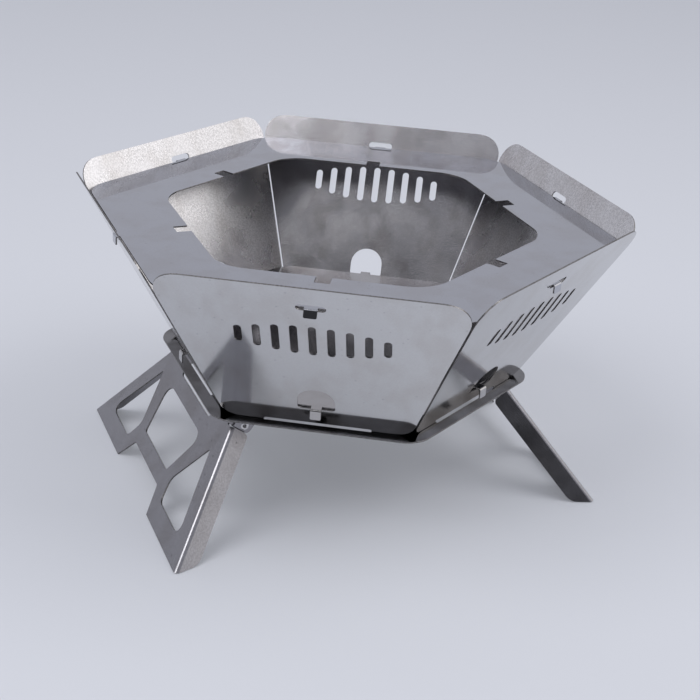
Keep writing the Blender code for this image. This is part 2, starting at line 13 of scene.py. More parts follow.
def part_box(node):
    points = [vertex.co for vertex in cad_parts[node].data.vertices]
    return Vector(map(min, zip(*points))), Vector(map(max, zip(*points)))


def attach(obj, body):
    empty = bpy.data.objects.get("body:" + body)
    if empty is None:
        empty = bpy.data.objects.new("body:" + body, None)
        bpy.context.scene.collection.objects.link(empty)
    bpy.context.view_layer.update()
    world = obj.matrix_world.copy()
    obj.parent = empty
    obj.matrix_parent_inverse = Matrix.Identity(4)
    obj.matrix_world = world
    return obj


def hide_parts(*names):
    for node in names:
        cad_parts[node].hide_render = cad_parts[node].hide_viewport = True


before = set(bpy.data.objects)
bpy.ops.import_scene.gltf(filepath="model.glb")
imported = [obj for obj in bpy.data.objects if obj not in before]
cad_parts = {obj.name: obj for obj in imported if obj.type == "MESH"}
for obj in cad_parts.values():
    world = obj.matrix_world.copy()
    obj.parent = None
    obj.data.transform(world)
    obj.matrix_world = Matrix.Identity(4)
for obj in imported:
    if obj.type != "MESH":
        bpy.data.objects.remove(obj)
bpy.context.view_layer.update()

MM = 0.001
SIDES = {
    "right": 0.0,
    "rear_right": 60.0,
    "rear_left": 120.0,
    "left": 180.0,
    "front_left": 240.0,
    "front_right": 300.0,
}
HALF_SIDE = math.pi / len(SIDES)

# Levels and sheets read from the frame
BASE_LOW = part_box("base_plate")[0][2]
BASE_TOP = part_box("base_plate")[1][2]
BASE_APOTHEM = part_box("base_plate")[1][0]
RING_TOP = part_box("top_ring")[1][2]
RING_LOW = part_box("top_ring")[0][2]
FLOOR_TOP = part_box("fire_plate")[1][2]
FLOOR_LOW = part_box("fire_plate")[0][2]
PANEL_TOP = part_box("panel_front_left")[1][2]

# Panels
SHEET = 1.2 * MM
LEAN = math.radians(27.9)
SLOPE = math.tan(LEAN)
PANEL_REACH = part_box("panel_right")[1][0] - SHEET * math.cos(LEAN)
TRIM = 0.7 * MM
PANEL_TOP_RADIUS = 20.0 * MM
PANEL_FOOT_RADIUS = 15.0 * MM
TOUCH_GAP = 0.3 * MM
RING_SEAT_GAP = 0.5 * MM
TONGUE_HALF = 41.4 * MM
TONGUE_DEPTH = 2.4 * MM
TONGUE_RADIUS = 1.5 * MM
SLOT_HALF_WIDTH = 11.2 * MM
SLOT_HEIGHT = 6.4 * MM
WINDOW_HALF = 15.0 * MM
WINDOW_HEIGHT = 26.0 * MM
WINDOW_FOOT_RADIUS = 3.0 * MM
VENT_COUNT = 9
VENT_PITCH = 14.0 * MM
VENT_HALF_WIDTH = 3.0 * MM
VENT_HEIGHT = 34.0 * MM
VENT_SHRINK = 0.45
VENT_DROP = 33.0 * MM
VENTED_SIDES = ("rear_right", "front_left", "front_right")

# Ring and fire plate
RING_EDGE_GAP = 1.0 * MM
RING_WIDTH = 57.8 * MM
RING_INNER_RADIUS = 32.0 * MM
RING_OUTER_RADIUS = 30.0 * MM
NOTCH_HALF = 6.2 * MM
NOTCH_DEPTH = 12.0 * MM
NOTCH_RADIUS = 1.0 * MM
RING_TAB_HALF = 5.0 * MM
FLOOR_EDGE_GAP = 0.6 * MM
FLOOR_RADIUS = 30.0 * MM
FLOOR_TAB_HALF = 4.5 * MM
FLOOR_TAB_REACH = 3.4 * MM
TAB_TIP_REACH = 1.2 * MM
OPENED_HOOKS = {"front_left": math.radians(22.0)}

# Base plate
BASE_RADIUS = 23.0 * MM
FOOT_SLOT_HALF = 43.6 * MM
FOOT_SLOT_WIDTH = 3.6 * MM
FOOT_SLOT_RADIUS = 1.2 * MM

# Legs, measured down the slope from the hinge
HINGE_INSET = 28.4 * MM
HINGE_DROP = 12.2 * MM
SPLAY = math.radians(35.54)
LEG_SHEET = 1.5 * MM
LEG_INSET = 9.3 * MM
LEG_SHOULDER = 77.0 * MM
LEG_FOOT_HALF = 140.3 * MM
LEG_EDGE_AT_HINGE = 75.4 * MM
FLANGE_WIDTH = 16.0 * MM
FLANGE_START = 6.5 * MM
FLANGE_FOOT_REACH = 5.7 * MM
EAR_FOOT = 5.0 * MM
EAR_RADIUS = 4.0 * MM
RELIEF = 2.5 * MM
RELIEF_RADIUS = RELIEF / 3.0
FOOT_INNER_HALF = 54.2 * MM
ARCH_TOP_HALF = 38.0 * MM
ARCH_RISE = 22.5 * MM
RECESS_HALF = 41.6 * MM
RECESS_DROP = 18.6 * MM
MIDDLE_TOP = 32.8 * MM
CROSSBAR = 14.0 * MM
MIDDLE_TOP_HALF = 50.2 * MM
MIDDLE_FOOT_HALF = 35.0 * MM
MIDDLE_TOP_RADIUS = 10.0 * MM
SIDE_HOLE_TOP = 31.0 * MM
SIDE_HOLE_SILL = 17.5 * MM
SIDE_RAIL_TOP = 19.5 * MM
SIDE_RAIL_FOOT = 17.0 * MM
SIDE_HOLE_INNER = 49.4 * MM
SIDE_HOLE_STEP = 58.0 * MM
SIDE_HOLE_STEP_UP = 19.0 * MM
SIDE_TOP_RADIUS = 2.0 * MM
SIDE_FOOT_RADIUS = 7.5 * MM
SIDE_STEP_RADIUS = 8.0 * MM
SIDE_INNER_RADIUS = 12.0 * MM
HOLE_RADIUS = 4.0 * MM

# Hinges
LUG_SHEET = 1.5 * MM
LUG_RADIUS = 7.0 * MM
LUG_ROOT_OUT = 0.3 * MM
LUG_ROOT_IN = 13.0 * MM
LUG_FOOT_LENGTH = 13.0 * MM
WASHER_THICKNESS = 1.0 * MM
WASHER_RADIUS = 5.0 * MM
RIVET_RADIUS = 2.5 * MM
RIVET_BORE = 1.2 * MM
RIVET_HEAD_RADIUS = 4.2 * MM
RIVET_HEAD_HEIGHT = 1.4 * MM
PIN_GAP = 0.1 * MM
LEG_SIDES = ("left", "right")

# Lug's rounds, and where its slanted shoulder ends
LUG_SHOULDER_UP = LUG_RADIUS * math.tan(math.radians(30.0)) * 0.5
LUG_SHOULDER_ROUND = LUG_RADIUS * 0.45
LUG_OUTER_ROUND = LUG_RADIUS * 0.99
LUG_INNER_ROUND = LUG_RADIUS * 0.9

# Rivet's outline: its mouth as shares of the bore, its head and tail as shares of the head's radius, with
# the share of the head's height that each point stands out
RIVET_MOUTH = ((1.0, 0.35), (1.25, 0.7))
RIVET_HEAD = ((0.55, 1.0), (0.8, 0.85), (0.96, 0.45), (1.0, 0.0))
RIVET_TAIL = ((0.9, 0.0), (0.86, 0.5), (0.6, 0.8))

# Folds, rounds and broken edges
BEND = 0.8 * MM
FOLD_STEPS = 6
CORNER_SEGMENTS = 8
FULL_ROUND = 0.999
HOLE_SEGMENTS = 32
TURN_STEPS = 40
EDGE_BREAK = 0.28 * MM
RIVET_EDGE_BREAK = 0.1 * MM
EDGE_BREAK_SEGMENTS = 2
SHARP_ANGLE = math.radians(50.0)
SAME_POINT = 0.01 * MM
SAME_TURNED_POINT = 0.001 * MM

# Places of the back's and the cut edges' finishes on a sheet, after that of its face
BACK_FINISH = 1
EDGE_FINISH = 2

# Levels and lengths that follow from the ones above
HINGE_APOTHEM = BASE_APOTHEM - HINGE_INSET
HINGE_HEIGHT = BASE_LOW - HINGE_DROP
LEG_TOP = (HINGE_DROP - TOUCH_GAP - LEG_INSET * math.sin(SPLAY)) / math.cos(SPLAY)
LEG_FOOT = (HINGE_HEIGHT + LEG_INSET * math.sin(SPLAY)) / math.cos(SPLAY)
PANEL_FOOT = BASE_TOP + TOUCH_GAP
PANEL_INNER_FOOT = PANEL_FOOT + SHEET * math.sin(LEAN)
SHEET_ACROSS = SHEET / math.cos(LEAN)


def panel_apothem(height):
    """Distance from the middle to a panel's inner face at a height."""
    return PANEL_REACH + SLOPE * (height - PANEL_TOP)


def along_panel(height):
    """Distance up a panel from its foot to a height on its inner face."""
    return (height - PANEL_INNER_FOOT) / math.cos(LEAN)


def outward(azimuth):
    """Level direction out of the middle of a side."""
    angle = math.radians(azimuth)
    return Vector((math.cos(angle), math.sin(angle), 0.0))


def along(azimuth):
    """Level direction along a side, anticlockwise seen from above."""
    angle = math.radians(azimuth)
    return Vector((-math.sin(angle), math.cos(angle), 0.0))


def upward(height):
    return Vector((0.0, 0.0, height))


def toward(azimuth, elevation):
    """Direction at an azimuth and elevation in degrees."""
    angle = math.radians(elevation)
    return outward(azimuth) * math.cos(angle) + upward(math.sin(angle))


def placed(x_axis, y_axis, z_axis, origin):
    """Frame with the given axes and origin."""
    matrix = Matrix((x_axis, y_axis, z_axis)).transposed().to_4x4()
    matrix.translation = origin
    return matrix


def side_frame(azimuth, apothem, height, lean):
    """Frame of a leaning sheet: X along its side, Y up the sheet, Z out of its outer face."""
    up = outward(azimuth) * math.sin(lean) + upward(math.cos(lean))
    across = along(azimuth)
    return placed(across, up, across.cross(up), outward(azimuth) * apothem + upward(height))


# Sheet work

def draw_loop(work, corners):
    """Closed loop through (x, y, radius) corners. Bevel rounds each corner by its radius."""
    points = [Vector((x, y, 0.0)) for x, y, radius in corners]
    verts = [work.verts.new(point) for point in points]
    for index, vert in enumerate(verts):
        work.edges.new((vert, verts[(index + 1) % len(verts)]))
    rounds = {}
    for index, (x, y, radius) in enumerate(corners):
        if radius > 0.0:
            before = points[index - 1] - points[index]
            after = points[(index + 1) % len(points)] - points[index]
            reach = radius / math.tan(before.angle(after) / 2.0)
            rounds.setdefault(round(reach, 7), []).append(verts[index])
    for reach, group in rounds.items():
        bmesh.ops.bevel(work, geom=group, offset=reach, offset_type="OFFSET", affect="VERTICES",
                        segments=CORNER_SEGMENTS, profile=0.5, material=-1, clamp_overlap=False)


def fill(work, normal=(0.0, 0.0, 1.0), edges=None):
    """Fills the loops with faces and leaves the inner ones as holes."""
    bmesh.ops.triangle_fill(work, use_beauty=True, edges=edges or list(work.edges), normal=normal)


def rim_edge(work, start, end):
    """The open edge that lies between two points."""
    middle = (Vector(start) + Vector(end)) / 2.0
    rims = [edge for edge in work.edges if edge.is_boundary]
    return min(rims, key=lambda edge: ((edge.verts[0].co + edge.verts[1].co) / 2.0 - middle).length)


def fold(work, edge, centre, axis, angle):
    """Rolls an open edge round a fold and returns the edge at the fold's end."""
    result = bmesh.ops.spin(work, geom=[edge] + list(edge.verts), cent=centre, axis=axis,
                            angle=angle, steps=FOLD_STEPS, use_duplicate=False)
    return [item for item in result["geom_last"] if isinstance(item, bmesh.types.BMEdge)][0]


def extend(work, edge, step):
    """Carries an open edge straight on and returns the new edge and its verts."""
    result = bmesh.ops.extrude_edge_only(work, edges=[edge])
    verts = [item for item in result["geom"] if isinstance(item, bmesh.types.BMVert)]
    bmesh.ops.translate(work, verts=verts, vec=step)
    edges = [item for item in result["geom"] if isinstance(item, bmesh.types.BMEdge)]
    last = [item for item in edges if all(vert in verts for vert in item.verts)][0]
    return last, verts


def round_tip(work, verts, reach):
    """Rounds the corners of a tab or flange, each over a reach along its edges."""
    bmesh.ops.bevel(work, geom=verts, offset=reach, offset_type="OFFSET", affect="VERTICES",
                    segments=CORNER_SEGMENTS // 2, profile=0.5, material=-1, clamp_overlap=False)


def sheet_piece(name, work, matrix, thickness, body, nodes, finishes):
    """Turns the surface into a finished sheet: its face points outward, and its thickness lies behind it.

    The finishes are those of its face, its back and its cut edges.
    """
    bmesh.ops.remove_doubles(work, verts=work.verts, dist=SAME_POINT)
    bmesh.ops.recalc_face_normals(work, faces=work.faces)
    largest = max(work.faces, key=lambda face: face.calc_area())
    if largest.normal.z < 0.0:
        bmesh.ops.reverse_faces(work, faces=work.faces)
    bmesh.ops.transform(work, matrix=matrix, verts=work.verts)
    piece = finish_mesh(name, work, finishes)
    solid = piece.modifiers.new("thickness", "SOLIDIFY")
    solid.material_offset = BACK_FINISH
    # The rims, and through add_edge_break the broken edges, take the cut-edge finish, whose dark colour is a
    # painted shade outline round every sheet.
    solid.material_offset_rim = EDGE_FINISH
    solid.thickness = thickness
    solid.offset = -1.0
    solid.use_even_offset = True
    add_edge_break(piece, EDGE_BREAK, EDGE_FINISH)
    join_body(piece, body, nodes)


def finish_mesh(name, work, finishes):
    """Makes an object of the mesh, smooth shaded, with its finishes."""
    mesh = bpy.data.meshes.new(name)
    work.to_mesh(mesh)
    work.free()
    mesh.shade_smooth()
    piece = bpy.data.objects.new(name, mesh)
    bpy.context.scene.collection.objects.link(piece)
    for finish in finishes:
        mesh.materials.append(finish)
    return piece


def add_edge_break(piece, width, finish):
    """Breaks the sharp edges, shows them in one of the finishes, and keeps flat faces flat in the shading.

    A finish of -1 gives each broken edge that of the faces beside it.
    """
    edges = piece.modifiers.new("edge_break", "BEVEL")
    edges.width = width
    edges.segments = EDGE_BREAK_SEGMENTS
    edges.material = finish
    edges.limit_method = "ANGLE"
    edges.angle_limit = SHARP_ANGLE
    edges.use_clamp_overlap = True
    normals = piece.modifiers.new("flat_shading", "WEIGHTED_NORMAL")
    normals.keep_sharp = True


def join_body(piece, body, nodes):
    """Fixes the piece to its body, in place of its CAD nodes."""
    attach(piece, body)
    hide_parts(*nodes)


def corner_after(azimuth, apothem, radius):
    """Rounded corner of the hexagon between a side and the next one."""
    reach = apothem / math.cos(HALF_SIDE)
    turn = math.radians(azimuth) + HALF_SIDE
    return reach * math.cos(turn), reach * math.sin(turn), radius


def on_side(azimuth, x, y):
    """Plan position of a point x along a side and y outward."""
    point = outward(azimuth) * y + along(azimuth) * x
    return point.x, point.y


def tabbed_hexagon(work, apothem, radius, tab_half, tab_reach):
    """Hexagon loop with a straight tab standing out of the middle of every side."""
    tab = ((-tab_half, apothem), (-tab_half, tab_reach), (tab_half, tab_reach), (tab_half, apothem))
    corners = []
    for azimuth in SIDES.values():
        corners += [(*on_side(azimuth, x, y), 0.0) for x, y in tab]
        corners.append(corner_after(azimuth, apothem, radius))
    draw_loop(work, corners)


def bend_tabs(work, tab_half, tab_reach, radius, drop, opened=None):
    """Rolls every tab's end down round its fold and carries it on to its tip.

    A side in opened has its tab bent short of square by that angle.
    """
    for side, azimuth in SIDES.items():
        start = (*on_side(azimuth, -tab_half, tab_reach), 0.0)
        end = (*on_side(azimuth, tab_half, tab_reach), 0.0)
        centre = outward(azimuth) * tab_reach - upward(radius)
        short = (opened or {}).get(side, 0.0)
        rolled = fold(work, rim_edge(work, start, end), centre, along(azimuth), math.pi / 2.0 - short)
        down = outward(azimuth) * math.sin(short) - upward(math.cos(short))
        tip, verts = extend(work, rolled, down * (drop - radius))
        round_tip(work, verts, TAB_TIP_REACH)


# The pieces

def make_top_ring(finishes):
    """Flat ring with a notch in each inner edge and a hook on each outer one."""
    outer = panel_apothem(RING_TOP - SHEET) - RING_EDGE_GAP
    opening = outer - RING_WIDTH
    radius = BEND + SHEET
    hook_face = panel_apothem(RING_TOP - SHEET - RING_SEAT_GAP) + SHEET_ACROSS + TOUCH_GAP + SHEET
    work = bmesh.new()
    tabbed_hexagon(work, outer, RING_OUTER_RADIUS, RING_TAB_HALF, hook_face - radius)
    far = opening + NOTCH_DEPTH
    notch = ((-NOTCH_HALF, opening, NOTCH_RADIUS / 2.0), (-NOTCH_HALF, far, NOTCH_RADIUS),
             (NOTCH_HALF, far, NOTCH_RADIUS), (NOTCH_HALF, opening, NOTCH_RADIUS / 2.0))
    inner = []
    for azimuth in SIDES.values():
        inner += [(*on_side(azimuth, x, y), corner) for x, y, corner in notch]
        inner.append(corner_after(azimuth, opening, RING_INNER_RADIUS))
    draw_loop(work, inner)
    fill(work)
    bend_tabs(work, RING_TAB_HALF, hook_face - radius, radius, RING_TOP - RING_LOW, OPENED_HOOKS)
    place = Matrix.Translation(upward(RING_TOP))
    sheet_piece("hooked_ring", work, place, SHEET, "ring", ["top_ring"], finishes)


def make_fire_plate(finishes):
    """Floor of the firebox, with a hook through each panel's window."""
    outer = panel_apothem(FLOOR_TOP - SHEET) - FLOOR_EDGE_GAP
    radius = BEND + SHEET
    hook_face = panel_apothem(FLOOR_TOP - SHEET) + SHEET_ACROSS + FLOOR_TAB_REACH + SHEET
    work = bmesh.new()
    tabbed_hexagon(work, outer, FLOOR_RADIUS, FLOOR_TAB_HALF, hook_face - radius)
    fill(work)
    bend_tabs(work, FLOOR_TAB_HALF, hook_face - radius, radius, FLOOR_TOP - FLOOR_LOW)
    place = Matrix.Translation(upward(FLOOR_TOP))
    sheet_piece("fire_floor", work, place, SHEET, "floor", ["fire_plate"], finishes)


def draw_slot(work, x, y, half_width, half_height):
    """Slot with round ends, upright or level."""
    radius = min(half_width, half_height) * FULL_ROUND
    draw_loop(work, [(x - half_width, y - half_height, radius), (x + half_width, y - half_height, radius),
                     (x + half_width, y + half_height, radius), (x - half_width, y + half_height, radius)])


def draw_panel(work, vented):
    """Outline of a panel with its tongue, and its window, hook slot and vents."""
    share = math.tan(HALF_SIDE)
    top = along_panel(PANEL_TOP)
    foot_half = panel_apothem(PANEL_INNER_FOOT) * share - TRIM
    top_half = panel_apothem(PANEL_TOP) * share - TRIM
    tongue_foot = along_panel(BASE_LOW - TONGUE_DEPTH)
    draw_loop(work, [
        (-foot_half, 0.0, PANEL_FOOT_RADIUS), (-TONGUE_HALF, 0.0, 0.0),
        (-TONGUE_HALF, tongue_foot, TONGUE_RADIUS), (TONGUE_HALF, tongue_foot, TONGUE_RADIUS),
        (TONGUE_HALF, 0.0, 0.0), (foot_half, 0.0, PANEL_FOOT_RADIUS),
        (top_half, top, PANEL_TOP_RADIUS), (-top_half, top, PANEL_TOP_RADIUS)])
    foot = along_panel(FLOOR_TOP - SHEET - TOUCH_GAP)
    head = WINDOW_HALF * FULL_ROUND
    draw_loop(work, [(-WINDOW_HALF, foot, WINDOW_FOOT_RADIUS), (WINDOW_HALF, foot, WINDOW_FOOT_RADIUS),
                     (WINDOW_HALF, foot + WINDOW_HEIGHT, head), (-WINDOW_HALF, foot + WINDOW_HEIGHT, head)])
    slot_foot = along_panel(RING_TOP - SHEET - RING_SEAT_GAP)
    draw_slot(work, 0.0, slot_foot + SLOT_HEIGHT / 2.0, SLOT_HALF_WIDTH, SLOT_HEIGHT / 2.0)
    vent_level = along_panel(RING_TOP - VENT_DROP)
    for index in range(VENT_COUNT if vented else 0):
        place = index - (VENT_COUNT - 1) / 2.0
        height = VENT_HEIGHT * (1.0 - VENT_SHRINK * (2.0 * place / (VENT_COUNT - 1)) ** 2)
        draw_slot(work, place * VENT_PITCH, vent_level, VENT_HALF_WIDTH, height / 2.0)


def make_panel(side, azimuth, finishes):
    """Leaning wall of the firebox, drawn on its outer face."""
    work = bmesh.new()
    draw_panel(work, side in VENTED_SIDES)
    fill(work)
    apothem = panel_apothem(PANEL_INNER_FOOT) + SHEET * math.cos(LEAN)
    place = side_frame(azimuth, apothem, PANEL_FOOT, LEAN)
    sheet_piece("vented_panel_" + side, work, place, SHEET, side + "_panel", ["panel_" + side],
                finishes)


def make_base_plate(finishes):
    """Plate under the panels, with a slot for each panel's tongue."""
    work = bmesh.new()
    draw_loop(work, [corner_after(azimuth, BASE_APOTHEM, BASE_RADIUS) for azimuth in SIDES.values()])
    inside = panel_apothem(BASE_LOW) - TOUCH_GAP
    for azimuth in SIDES.values():
        corners = ((-FOOT_SLOT_HALF, inside), (FOOT_SLOT_HALF, inside),
                   (FOOT_SLOT_HALF, inside + FOOT_SLOT_WIDTH), (-FOOT_SLOT_HALF, inside + FOOT_SLOT_WIDTH))
        draw_loop(work, [(*on_side(azimuth, x, y), FOOT_SLOT_RADIUS) for x, y in corners])
    fill(work)
    place = Matrix.Translation(upward(BASE_TOP))
    sheet_piece("slotted_base", work, place, BASE_TOP - BASE_LOW, "base", ["base_plate"],
                finishes)


def leg_edge(down):
    """Half width of a leg at a distance down its slope from the hinge."""
    return LEG_EDGE_AT_HINGE + (LEG_FOOT_HALF - LEG_EDGE_AT_HINGE) * down / LEG_FOOT


def draw_leg(work):
    """Flat part of a leg, short of its folds by the fold's radius."""
    radius = BEND + LEG_SHEET
    below = LEG_FOOT + LEG_SHEET * 2.0
    shoulder = LEG_SHOULDER - radius
    arch = LEG_FOOT - ARCH_RISE
    right = [
        (RECESS_HALF, LEG_TOP, 0.0), (shoulder, LEG_TOP, 0.0), (shoulder, -EAR_FOOT, 0.0),
        (shoulder - RELIEF, -EAR_FOOT, RELIEF_RADIUS), (shoulder - RELIEF, -FLANGE_START, RELIEF_RADIUS),
        (leg_edge(FLANGE_START) - radius, -FLANGE_START, 0.0), (leg_edge(below) - radius, -below, 0.0),
        (FOOT_INNER_HALF, -below, 0.0), (ARCH_TOP_HALF, -arch, HOLE_RADIUS)]
    left = [(-x, y, corner) for x, y, corner in reversed(right)]
    recess = [(-RECESS_HALF, -RECESS_DROP, HOLE_RADIUS), (RECESS_HALF, -RECESS_DROP, HOLE_RADIUS)]
    draw_loop(work, right + left + recess)
    middle_foot = arch - CROSSBAR
    draw_loop(work, [
        (-MIDDLE_TOP_HALF, -MIDDLE_TOP, MIDDLE_TOP_RADIUS),
        (MIDDLE_TOP_HALF, -MIDDLE_TOP, MIDDLE_TOP_RADIUS),
        (MIDDLE_FOOT_HALF, -middle_foot, HOLE_RADIUS),
        (-MIDDLE_FOOT_HALF, -middle_foot, HOLE_RADIUS)])
    side_foot = LEG_FOOT - SIDE_HOLE_SILL
    for hand in (-1.0, 1.0):
        side = [(leg_edge(SIDE_HOLE_TOP) - SIDE_RAIL_TOP, -SIDE_HOLE_TOP, SIDE_TOP_RADIUS),
                (leg_edge(side_foot) - SIDE_RAIL_FOOT, -side_foot, SIDE_FOOT_RADIUS),
                (SIDE_HOLE_STEP, -side_foot, SIDE_STEP_RADIUS),
                (SIDE_HOLE_INNER, -side_foot + SIDE_HOLE_STEP_UP, SIDE_INNER_RADIUS)]
        draw_loop(work, [(hand * x, y, corner) for x, y, corner in side])


def fold_flange(work, hand):
    """Stiffening flange along one slanted edge of a leg."""
    radius = BEND + LEG_SHEET
    below = LEG_FOOT + LEG_SHEET * 2.0
    start = Vector((hand * (leg_edge(FLANGE_START) - radius), -FLANGE_START, 0.0))
    end = Vector((hand * (leg_edge(below) - radius), -below, 0.0))
    axis = (end - start).normalized() * -hand
    rolled = fold(work, rim_edge(work, start, end), start - upward(radius), axis, math.pi / 2.0)
    tip, verts = extend(work, rolled, upward(radius - FLANGE_WIDTH))
    upper = [vert for vert in verts if vert.co.y > -LEG_FOOT / 2.0]
    round_tip(work, upper, EAR_RADIUS)


def fold_ear(work, hand):
    """Ear at a leg's shoulder, folded square to the hinge pin, with the pin's hole."""
    radius = BEND + LEG_SHEET
    shoulder = hand * (LEG_SHOULDER - radius)
    start = Vector((shoulder, LEG_TOP, 0.0))
    end = Vector((shoulder, -EAR_FOOT, 0.0))
    rolled = fold(work, rim_edge(work, start, end), start - upward(radius), (0.0, hand, 0.0), math.pi / 2.0)
    known = set(work.edges)
    tip, verts = extend(work, rolled, upward(radius - FLANGE_WIDTH))
    bmesh.ops.delete(work, geom=list(tip.link_faces), context="FACES_ONLY")
    round_tip(work, verts, EAR_RADIUS)
    turn = Matrix.Rotation(math.pi / 2.0, 4, "Y")
    place = Matrix.Translation((hand * LEG_SHOULDER, 0.0, -LEG_INSET)) @ turn
    bmesh.ops.create_circle(work, cap_ends=False, segments=HOLE_SEGMENTS, radius=RIVET_RADIUS + PIN_GAP,
                            matrix=place)
    rim = [edge for edge in work.edges if edge not in known or edge == rolled]
    fill(work, (hand, 0.0, 0.0), rim)


def make_leg(side, azimuth, finishes):
    """Leg with its flanges and ears, cut off level with the ground."""
    work = bmesh.new()
    draw_leg(work)
    fill(work)
    for hand in (-1.0, 1.0):
        fold_flange(work, hand)
        fold_ear(work, hand)
    at_hinge = side_frame(azimuth, HINGE_APOTHEM, HINGE_HEIGHT, -SPLAY)
    drawn = at_hinge @ Matrix.Translation(upward(LEG_INSET))
    bmesh.ops.recalc_face_normals(work, faces=work.faces)
    ground = drawn.inverted()
    level = ground.to_3x3() @ upward(1.0)
    geometry = list(work.verts) + list(work.edges) + list(work.faces)
    bmesh.ops.bisect_plane(work, geom=geometry, plane_co=ground.translation, plane_no=level,
                           clear_inner=True)
    lowest = [vert for vert in work.verts
              if abs(vert.co.z + FLANGE_WIDTH) < TOUCH_GAP and vert.co.y < -LEG_FOOT / 2.0]
    round_tip(work, lowest, FLANGE_FOOT_REACH)
    sheet_piece("folding_leg_" + side, work, drawn, LEG_SHEET, side + "_leg", ["leg_" + side],
                finishes)


def make_lug(side, azimuth, hand, end, finishes):
    """Bracket under the base: a drop with the pin's hole, folded to a flat foot at its top."""
    drop = HINGE_DROP - TOUCH_GAP
    radius = BEND + LUG_SHEET
    inner_face = LEG_SHOULDER - LEG_SHEET - TOUCH_GAP - WASHER_THICKNESS - TOUCH_GAP
    work = bmesh.new()
    draw_loop(work, [(-LUG_ROOT_IN, drop - radius, 0.0), (LUG_ROOT_OUT, drop - radius, 0.0),
                     (LUG_RADIUS, LUG_SHOULDER_UP, LUG_SHOULDER_ROUND),
                     (LUG_RADIUS, -LUG_RADIUS, LUG_OUTER_ROUND),
                     (-LUG_RADIUS, -LUG_RADIUS, LUG_INNER_ROUND)])
    bmesh.ops.create_circle(work, cap_ends=False, segments=HOLE_SEGMENTS, radius=RIVET_RADIUS + PIN_GAP)
    fill(work)
    start = (-LUG_ROOT_IN, drop - radius, 0.0)
    stop = (LUG_ROOT_OUT, drop - radius, 0.0)
    centre = (0.0, drop - radius, -radius)
    rolled = fold(work, rim_edge(work, start, stop), centre, (-1.0, 0.0, 0.0), math.pi / 2.0)
    tip, verts = extend(work, rolled, upward(radius - LUG_FOOT_LENGTH))
    round_tip(work, verts, BEND)
    facing = along(azimuth) * hand
    origin = outward(azimuth) * HINGE_APOTHEM + facing * inner_face + upward(HINGE_HEIGHT)
    place = placed(outward(azimuth), upward(1.0), facing, origin)
    sheet_piece("lug_%s_%s" % (side, end), work, place, LUG_SHEET, "base",
                ["hinge_lug_%s_%s" % (side, end)], finishes)


def spun_piece(name, profile, matrix, node, finish):
    """Turned piece from (radius, height) points, round its own Z axis."""
    work = bmesh.new()
    verts = [work.verts.new((radius, 0.0, height)) for radius, height in profile]
    edges = [work.edges.new((vert, verts[(index + 1) % len(verts)])) for index, vert in enumerate(verts)]
    bmesh.ops.spin(work, geom=verts + edges, cent=(0.0, 0.0, 0.0), axis=(0.0, 0.0, 1.0),
                   angle=2.0 * math.pi, steps=TURN_STEPS, use_merge=True)
    bmesh.ops.remove_doubles(work, verts=work.verts, dist=SAME_TURNED_POINT)
    bmesh.ops.transform(work, matrix=matrix, verts=work.verts)
    bmesh.ops.recalc_face_normals(work, faces=work.faces)
    piece = finish_mesh(name, work, [finish])
    add_edge_break(piece, RIVET_EDGE_BREAK, -1)
    join_body(piece, "base", [node])


def make_hinge(side, azimuth, hand, end, lug_finishes, pin_finish):
    """Lug, washer and hollow rivet at one end of a leg's hinge."""
    make_lug(side, azimuth, hand, end, lug_finishes)
    facing = along(azimuth) * hand
    across = facing.cross(outward(azimuth))
    name = "%s_%s" % (side, end)

    def seat(distance):
        origin = outward(azimuth) * HINGE_APOTHEM + facing * distance + upward(HINGE_HEIGHT)
        return placed(outward(azimuth), across, facing, origin)

    bore = RIVET_RADIUS + PIN_GAP
    washer = [(bore, 0.0), (bore, -WASHER_THICKNESS),
              (WASHER_RADIUS, -WASHER_THICKNESS), (WASHER_RADIUS, 0.0)]
    washer_face = LEG_SHOULDER - LEG_SHEET - TOUCH_GAP
    spun_piece("washer_" + name, washer, seat(washer_face), "hinge_washer_" + name, pin_finish)
    stack = LEG_SHEET + WASHER_THICKNESS + LUG_SHEET + 4.0 * TOUCH_GAP
    rivet = [(RIVET_BORE * share, RIVET_HEAD_HEIGHT * rise) for share, rise in RIVET_MOUTH]
    rivet += [(RIVET_HEAD_RADIUS * share, RIVET_HEAD_HEIGHT * rise) for share, rise in RIVET_HEAD]
    rivet += [(RIVET_RADIUS, 0.0), (RIVET_RADIUS, -stack)]
    rivet += [(RIVET_HEAD_RADIUS * share, -stack - RIVET_HEAD_HEIGHT * drop) for share, drop in RIVET_TAIL]
    rivet.append((RIVET_BORE, rivet[-1][1]))
    spun_piece("rivet_" + name, rivet, seat(LEG_SHOULDER + TOUCH_GAP), "hinge_rivet_" + name, pin_finish)


# Finishes: colour, range of roughness, the grain's scale and depth, and how far each mark darkens the steel

